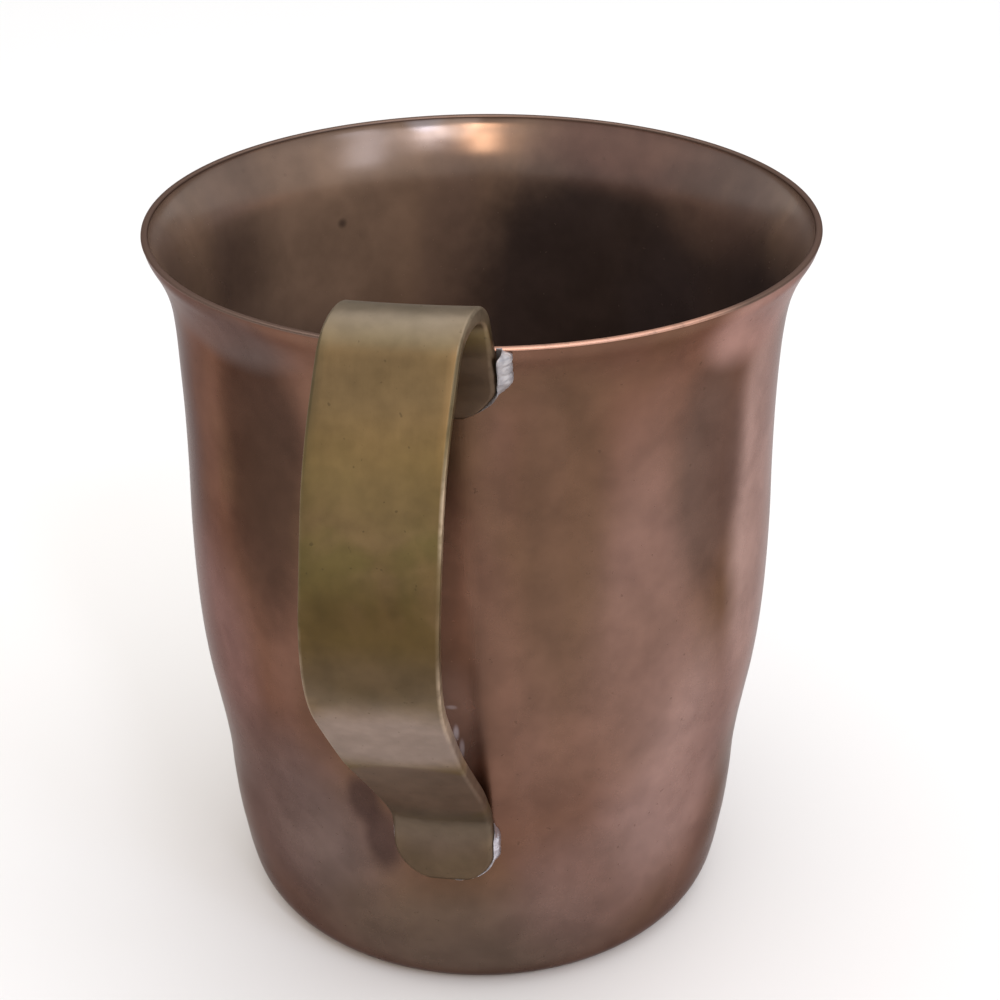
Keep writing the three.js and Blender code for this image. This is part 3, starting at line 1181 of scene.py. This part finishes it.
@dataclass
class SolderBead:
    """A bead of solder on the wall round the sides and the end of one tab.

    Lengths are in millimetres. Grains are how many to the millimetre and how strong. The fillet
    is the bead's slope, as shares of its reach and of its rise.
    """

    name: str
    node: str
    wall: WallShape
    finish: SolderFinish
    tab: TabEnd
    width: float
    end: float
    form: BeadForm
    grain: float
    lap: float = 0.85
    taper: float = 6.0
    middle: float = 0.0
    step: float = 0.22
    side_points: int = 120
    crowding: float = 1.6
    facing_points: int = 3
    under: float = 0.7
    under_height: float = 0.28
    under_slope: float = 0.1
    sink: float = 0.06
    skirt: float = 0.02
    least_reach: float = 0.06
    least_rise: float = 0.05
    rise_grain: float = 0.3
    bulge: float = 0.75
    grains: tuple[Pair, ...] = ((1.7, 1.0), (5.1, 0.6))
    fillet: tuple[Pair, ...] = (
        (0.0, 1.0), (0.12, 0.86), (0.3, 0.58), (0.5, 0.34), (0.72, 0.15), (0.9, 0.04), (1.0, 0.0),
    )

    def edge(self) -> list[Pair]:
        """The tab's edge from the top of its left side round to the top of its right side."""
        shares = [(1 - k / self.side_points) ** self.crowding for k in range(self.side_points + 1)]
        side = [self.form.run * share for share in shares]
        left = [(-self.tab.half(self.width, s, -1), self.end + s) for s in side]
        right = [(self.tab.half(self.width, s, 1), self.end + s) for s in reversed(side)]
        return even_steps(left + right, self.step)

    def outwards(self, line: Sequence[Pair], i: int) -> Pair:
        """The direction away from the tab at a point of its edge, across and up."""
        before = line[max(i - self.facing_points, 0)]
        after = line[min(i + self.facing_points, len(line) - 1)]
        run, rise = after[0] - before[0], after[1] - before[1]
        size = math.hypot(run, rise)
        return rise / size, -run / size

    def section(self, y: float, z: float, fullness: float) -> list[Pair]:
        """The bead's section at a point of the tab's edge.

        Args:
            y: The point's place along Y.
            z: Its height.
            fullness: How much of the bead is left there, from 0 at its two ends to 1.

        Returns:
            The section's corners, as distance from the tab's edge and height off the wall.
        """
        rough = sum(s * noise.noise(Vector((y * n, z * n, self.end))) for n, s in self.grains)
        ragged = 1.0 + self.grain * rough
        lump = self.form.lumped(y, z) * fullness
        reach = max(self.form.reach_at(y, z) * ragged * fullness, self.least_reach)
        rise = self.form.rise_at(y, z) * between(1.0, ragged, self.rise_grain) * fullness
        rise = max(rise, self.under_height + self.least_rise)
        start, stop = self.skirt - self.lap * lump, self.skirt + reach
        slope = 1.0 - self.bulge * lump
        section = [(-self.under, -self.sink), (-self.under, self.under_height - self.under_slope),
                   (-self.skirt, self.under_height)]
        section += [(between(start, stop, off), rise * up ** slope) for off, up in self.fillet]
        return [*section, (stop, -self.sink), (-self.under / 2, -self.sink)]

    def build(self) -> bpy.types.Object:
        """Makes the bead, dresses it and sets it on the frame.

        Returns:
            The bead's object.
        """
        line = self.edge()
        corners: list[Triple] = []
        for i, (y, z) in enumerate(line):
            out_y, out_z = self.outwards(line, i)
            fullness = ease(min(i, len(line) - 1 - i) / self.taper)
            for off, up in self.section(y, z, fullness):
                corners.append(self.wall.at(y + self.middle + out_y * off, z + out_z * off, up))
        bead = make_piece(self.name, corners, capped_loops(len(line), len(corners) // len(line)))
        self.finish.dress(bead)
        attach(bead, ROOT_BODY)
        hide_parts(self.node)
        return bead


# The studio


@dataclass(frozen=True)
class SoftLight:
    """A soft box, aimed at a point. Lengths are in metres."""

    name: str
    place: Triple
    size: Pair
    power: float
    tint: Triple = (1.0, 1.0, 1.0)
    aim: Triple = (0.0, 0.0, 0.06)

    def hang(self) -> None:
        """Makes the lamp."""
        data = bpy.data.lights.new(self.name, "AREA")
        data.shape = "RECTANGLE"
        data.size, data.size_y = self.size
        data.energy = self.power
        data.color = self.tint
        lamp = bpy.data.objects.new(self.name, data)
        lamp.location = self.place
        towards = Vector(self.aim) - Vector(self.place)
        lamp.rotation_euler = towards.to_track_quat("-Z", "Y").to_euler()
        bpy.context.scene.collection.objects.link(lamp)


@dataclass
class Studio:
    """A plain pale floor, soft light and the camera at the photograph's angle.

    Lengths are in metres, angles in degrees, and the lens and its sensor in millimetres.
    """

    floor_size: float = 8.0
    floor_tone: Colour = colour(0.86, 0.86, 0.86)
    floor_mark: Colour = colour(0.80, 0.80, 0.80)
    floor_cloud: Cloud = Cloud(3.0, 3)
    floor_span: Pair = (0.2, 0.8)
    floor_share: float = 0.02
    floor_roughness: float = 0.9
    sky: Colour = colour(1.0, 1.0, 1.0)
    sky_power: float = 0.57
    distance: float = 0.28164
    rise: float = 0.21554
    azimuth: float = 7.73
    tilt: float = 27.92
    pan: float = -0.607
    roll: float = -0.14
    lens: float = 72.0
    sensor: float = 36.0
    nearest: float = 0.01
    lights: tuple[SoftLight, ...] = (
        SoftLight("overhead_box", (-0.1, 0.1, 1.9), (3.0, 3.0), 34.0),
        SoftLight("window_box", (0.69, 1.0, 0.86), (0.32, 0.7), 2.4, (0.66, 0.79, 1.0)),
        SoftLight("pale_box", (0.96, 0.55, 1.08), (0.14, 0.36), 3.0, (0.84, 0.88, 1.0)),
        SoftLight("warm_box", (1.16, 0.14, 0.98), (0.13, 0.45), 4.6, (1.0, 0.70, 0.48)),
    )

    def build(self) -> None:
        """Makes the floor, the light and the camera."""
        self.lay_floor()
        world = bpy.data.worlds.new("pale_room")
        world.use_nodes = True
        world.node_tree.nodes["Background"].inputs["Color"].default_value = self.sky
        world.node_tree.nodes["Background"].inputs["Strength"].default_value = self.sky_power
        bpy.context.scene.world = world
        for light in self.lights:
            light.hang()
        self.set_camera()
        bpy.context.scene.view_settings.view_transform = "Standard"

    def lay_floor(self) -> None:
        """Makes the floor."""
        half = self.floor_size / 2 / MM
        corners = [(-half, -half, 0.0), (half, -half, 0.0), (half, half, 0.0), (-half, half, 0.0)]
        floor = make_piece("studio_floor", corners, [(0, 1, 2, 3)])
        bench = FinishBench("pale_floor")
        marks = bench.step(bench.cloud(self.floor_cloud), self.floor_span) * self.floor_share
        bench.dress(floor, {
            "Base Color": bench.blend(marks, self.floor_tone, self.floor_mark),
            "Roughness": self.floor_roughness,
        })

    def set_camera(self) -> None:
        """Places the camera, and makes it the scene's."""
        turn = math.radians(self.azimuth)
        tilt, pan, roll = (math.radians(angle) for angle in (self.tilt, self.pan, self.roll))
        level = math.cos(tilt)
        ahead = Vector((-level * math.cos(pan), -level * math.sin(pan), -math.sin(tilt)))
        beside = ahead.cross(Vector((0, 0, 1))).normalized()
        above = beside.cross(ahead)
        right = math.cos(roll) * beside + math.sin(roll) * above
        up = math.cos(roll) * above - math.sin(roll) * beside
        facing = Matrix((right, up, -ahead)).transposed().to_4x4()
        data = bpy.data.cameras.new("camera")
        data.lens = self.lens
        data.sensor_width = self.sensor
        data.clip_start = self.nearest
        camera = bpy.data.objects.new("camera", data)
        spot = Matrix.Translation((self.distance, 0.0, self.rise))
        camera.matrix_world = Matrix.Rotation(turn, 4, "Z") @ spot @ facing
        bpy.context.scene.collection.objects.link(camera)
        bpy.context.scene.camera = camera


# Patches of painted light, shade and reflection, and one dark spot, each laid over the ones before it

COPPER_PATCHES = (
    # All round the foot: a paler, mauve painted reflection
    TarnishAndPaintedLightPatch((0.0, 0.0, 0.0), (60.0, 60.0, 17.0), colour(0.148, 0.106, 0.092), 0.6, 0.5),
    # The left side, and low on the front: painted reflections, dark bands and paler mauve ones
    TarnishAndPaintedLightPatch((17.0, -42.0, 78.0), (11.0, 6.0, 46.0), colour(0.055, 0.028, 0.022), 0.8, 0.5),
    TarnishAndPaintedLightPatch((37.6, -25.5, 90.0), (9.5, 8.5, 22.0), colour(0.052, 0.027, 0.018), 0.85, 0.35),
    TarnishAndPaintedLightPatch((25.0, -38.0, 53.0), (12.0, 10.0, 18.0), colour(0.270, 0.165, 0.150), 0.7, 0.5),
    TarnishAndPaintedLightPatch((34.0, -25.5, 26.0), (18.0, 18.0, 17.0), colour(0.172, 0.132, 0.126), 0.65, 0.5),
    TarnishAndPaintedLightPatch((41.0, 2.0, 11.0), (14.0, 24.0, 11.0), colour(0.128, 0.098, 0.074), 0.6, 0.5),
    # The right side: painted reflections, pale and pink, with one dark band
    TarnishAndPaintedLightPatch((35.3, 22.7, 20.0), (12.0, 14.0, 12.0), colour(0.225, 0.138, 0.120), 0.6, 0.5),
    TarnishAndPaintedLightPatch((14.0, 43.5, 70.0), (11.0, 6.0, 42.0), colour(0.520, 0.360, 0.320), 0.75),
    TarnishAndPaintedLightPatch((26.0, 34.5, 37.0), (14.0, 12.0, 24.0), colour(0.420, 0.275, 0.248), 0.7, 0.5),
    TarnishAndPaintedLightPatch((35.5, 28.5, 68.0), (9.0, 9.0, 26.0), colour(0.255, 0.148, 0.122), 0.65, 0.5),
    TarnishAndPaintedLightPatch((41.5, 18.0, 55.0), (10.0, 12.0, 20.0), colour(0.215, 0.120, 0.088), 0.5, 0.6),
    TarnishAndPaintedLightPatch((27.0, 36.4, 87.0), (8.0, 6.5, 18.0), colour(0.115, 0.070, 0.055), 0.8, 0.4),
    # Under the rim: a painted highlight on the right, and a painted mauve reflection on the left
    TarnishAndPaintedLightPatch((22.0, 41.5, 110.0), (12.0, 8.0, 6.5), colour(0.480, 0.290, 0.250), 0.8),
    TarnishAndPaintedLightPatch((35.0, -31.0, 109.5), (12.0, 14.0, 4.5), colour(0.155, 0.124, 0.116), 0.6),
    # Beside the strap: painted reflections of the strap in the wall, the last two dark beside the lower tab
    TarnishAndPaintedLightPatch((42.4, 16.4, 86.0), (6.0, 7.0, 28.0), colour(0.108, 0.062, 0.034), 0.6, 0.5),
    TarnishAndPaintedLightPatch((45.6, 0.8, 74.0), (6.0, 3.9, 20.0), colour(0.260, 0.135, 0.088), 0.8, 0.35),
    TarnishAndPaintedLightPatch((45.4, 1.8, 51.0), (6.0, 3.6, 12.0), colour(0.330, 0.200, 0.155), 0.8, 0.35),
    TarnishAndPaintedLightPatch((45.2, 7.2, 82.0), (6.0, 2.4, 26.0), colour(0.118, 0.068, 0.046), 0.35, 0.6),
    TarnishAndPaintedLightPatch((42.0, -12.2, 37.4), (4.0, 2.6, 5.0), colour(0.060, 0.034, 0.029), 0.75, 0.4),
    TarnishAndPaintedLightPatch((41.7, -9.6, 30.0), (4.0, 2.8, 6.5), colour(0.060, 0.034, 0.029), 0.75, 0.4),
    # Small bright streaks beside the strap: painted glints
    TarnishAndPaintedLightPatch((45.3, 2.3, 52.8), (3.0, 0.35, 1.1), colour(0.850, 0.760, 0.800), 0.75, 0.6),
    TarnishAndPaintedLightPatch((45.1, 3.1, 50.0), (3.0, 0.3, 1.3), colour(0.850, 0.760, 0.800), 0.65, 0.6),
    TarnishAndPaintedLightPatch((45.5, 1.7, 57.2), (3.0, 0.7, 0.3), colour(0.700, 0.600, 0.620), 0.5, 0.6),
)

INNER_PATCHES = (
    # The dark right half of the inner wall: painted shade
    TarnishAndPaintedLightPatch((-40.0, 16.0, 76.0), (20.0, 24.0, 32.0), colour(0.048, 0.034, 0.031), 0.93, 0.22),
    TarnishAndPaintedLightPatch((-16.0, 38.0, 70.0), (38.0, 26.0, 37.0), colour(0.054, 0.040, 0.040), 0.9, 0.22),
    # The tan left half, which faces the light: painted light, with a darker patch in it
    TarnishAndPaintedLightPatch((-33.2, -29.9, 96.0), (15.0, 15.0, 14.0), colour(0.330, 0.214, 0.145), 0.85, 0.6),
    TarnishAndPaintedLightPatch((-14.3, -42.4, 97.0), (8.0, 8.0, 8.0), colour(0.110, 0.066, 0.048), 0.5, 0.6),
    # Under the inner rim: painted shade on the right, then a peach and a lavender painted glint
    TarnishAndPaintedLightPatch((-42.0, 20.0, 112.0), (16.0, 16.0, 7.0), colour(0.158, 0.080, 0.062), 0.75, 0.5),
    TarnishAndPaintedLightPatch((-30.0, 36.0, 108.0), (14.0, 12.0, 9.0), colour(0.128, 0.080, 0.066), 0.7, 0.5),
    TarnishAndPaintedLightPatch((-47.5, -10.4, 115.0), (5.0, 5.0, 5.2), colour(0.400, 0.290, 0.230), 0.8, 0.22),
    TarnishAndPaintedLightPatch((-45.8, -15.2, 114.6), (4.0, 3.6, 2.6), colour(0.380, 0.340, 0.350), 0.7, 0.4),
    # One dark spot
    TarnishAndPaintedLightPatch((-34.9, -28.1, 99.0), (0.8, 0.8, 0.8), colour(0.060, 0.040, 0.032), 0.7, 0.6),
)

BRASS_PATCHES = (
    # The hook and the grip: a pale grey painted reflection on the crest, then painted light and painted
    # shade below it
    TarnishAndPaintedLightPatch((57.0, -1.5, 124.0), (11.0, 14.0, 5.0), colour(0.235, 0.190, 0.145), 0.8, 0.5),
    TarnishAndPaintedLightPatch((70.0, -3.0, 110.0), (9.0, 12.0, 11.0), colour(0.205, 0.150, 0.064), 0.7, 0.6),
    TarnishAndPaintedLightPatch((69.0, -3.0, 118.0), (7.0, 16.0, 6.5), colour(0.126, 0.094, 0.050), 0.9, 0.6),
    # The elbow, and the strap below it: painted reflections, grey and dark over the bend, pale pink under
    # it, brown on the slope
    TarnishAndPaintedLightPatch((75.0, -3.8, 79.5), (8.0, 16.0, 5.0), colour(0.180, 0.140, 0.108), 0.65, 0.6),
    TarnishAndPaintedLightPatch((76.0, -3.9, 85.0), (6.0, 14.0, 8.5), colour(0.070, 0.040, 0.012), 0.72, 0.5),
    TarnishAndPaintedLightPatch((71.0, -3.4, 67.0), (13.0, 16.0, 8.5), colour(0.385, 0.300, 0.262), 0.85, 0.35),
    TarnishAndPaintedLightPatch((57.0, -1.5, 50.0), (13.0, 14.0, 12.0), colour(0.176, 0.118, 0.092), 0.85, 0.1),
    # The lower tab: painted light and shade
    TarnishAndPaintedLightPatch((48.0, -0.2, 37.5), (8.0, 14.0, 6.0), colour(0.155, 0.118, 0.088), 0.85, 0.5),
    TarnishAndPaintedLightPatch((45.0, 0.0, 27.0), (5.0, 12.0, 8.0), colour(0.110, 0.073, 0.053), 0.7),
    # The upper tab: painted shadow under the hook
    TarnishAndPaintedLightPatch((48.0, 0.4, 110.0), (7.0, 14.0, 13.0), colour(0.080, 0.048, 0.030), 0.9, 0.25),
)

UPPER_BEAD = BeadForm(
    run=10.5, reach=(0.45, 0.45), reach_turn=(3.0, 4.0), rise=(0.9, 2.2), rise_turn=(3.0, 4.0),
    lump=Stretch(106.2, 3.0, 113.6, 0.6), lump_reach=0.85, lump_rise=0.42,
)
LOWER_BEAD = BeadForm(
    run=10.0, reach=(0.25, 0.45), reach_turn=(2.0, 3.0), rise=(0.8, 1.9), rise_turn=(1.0, 3.0),
    lump=Stretch(27.5, 2.5, 33.0, 2.0), lump_reach=0.4, lump_rise=0.3,
)
FROSTED_SOLDER = SolderFinish("frosted_solder", colour(0.56, 0.54, 0.55), colour(0.40, 0.38, 0.40), 0.5)
BRIGHT_SOLDER = SolderFinish("bright_solder", colour(0.66, 0.64, 0.70), colour(0.45, 0.43, 0.47), 0.3)


def main() -> None:
    """Builds the pitcher and its studio, in order."""
    logging.basicConfig(level=logging.INFO, format="%(name)s: %(message)s")
    wall = WallShape()
    body = CopperBody(wall, CopperFinish(patches=COPPER_PATCHES, inner_patches=INNER_PATCHES))
    strap = BrassStrap(wall, BrassFinish(patches=BRASS_PATCHES))
    upper = SolderBead(
        "upper_solder_bead", "upper_solder", wall, FROSTED_SOLDER, strap.upper_tab,
        strap.upper_width, strap.upper_end, UPPER_BEAD, grain=0.16, taper=3.0, middle=strap.lean,
    )
    lower = SolderBead(
        "lower_solder_bead", "lower_solder", wall, BRIGHT_SOLDER, strap.lower_tab,
        strap.lower_width, strap.lower_end, LOWER_BEAD, grain=0.06, lap=0.3,
    )
    for maker in (body, strap, upper, lower):
        piece = maker.build()
        log.info("%s: %d corners", piece.name, len(piece.data.vertices))
    Studio().build()
    log.info("studio ready")


if __name__ == "__main__":
    main()
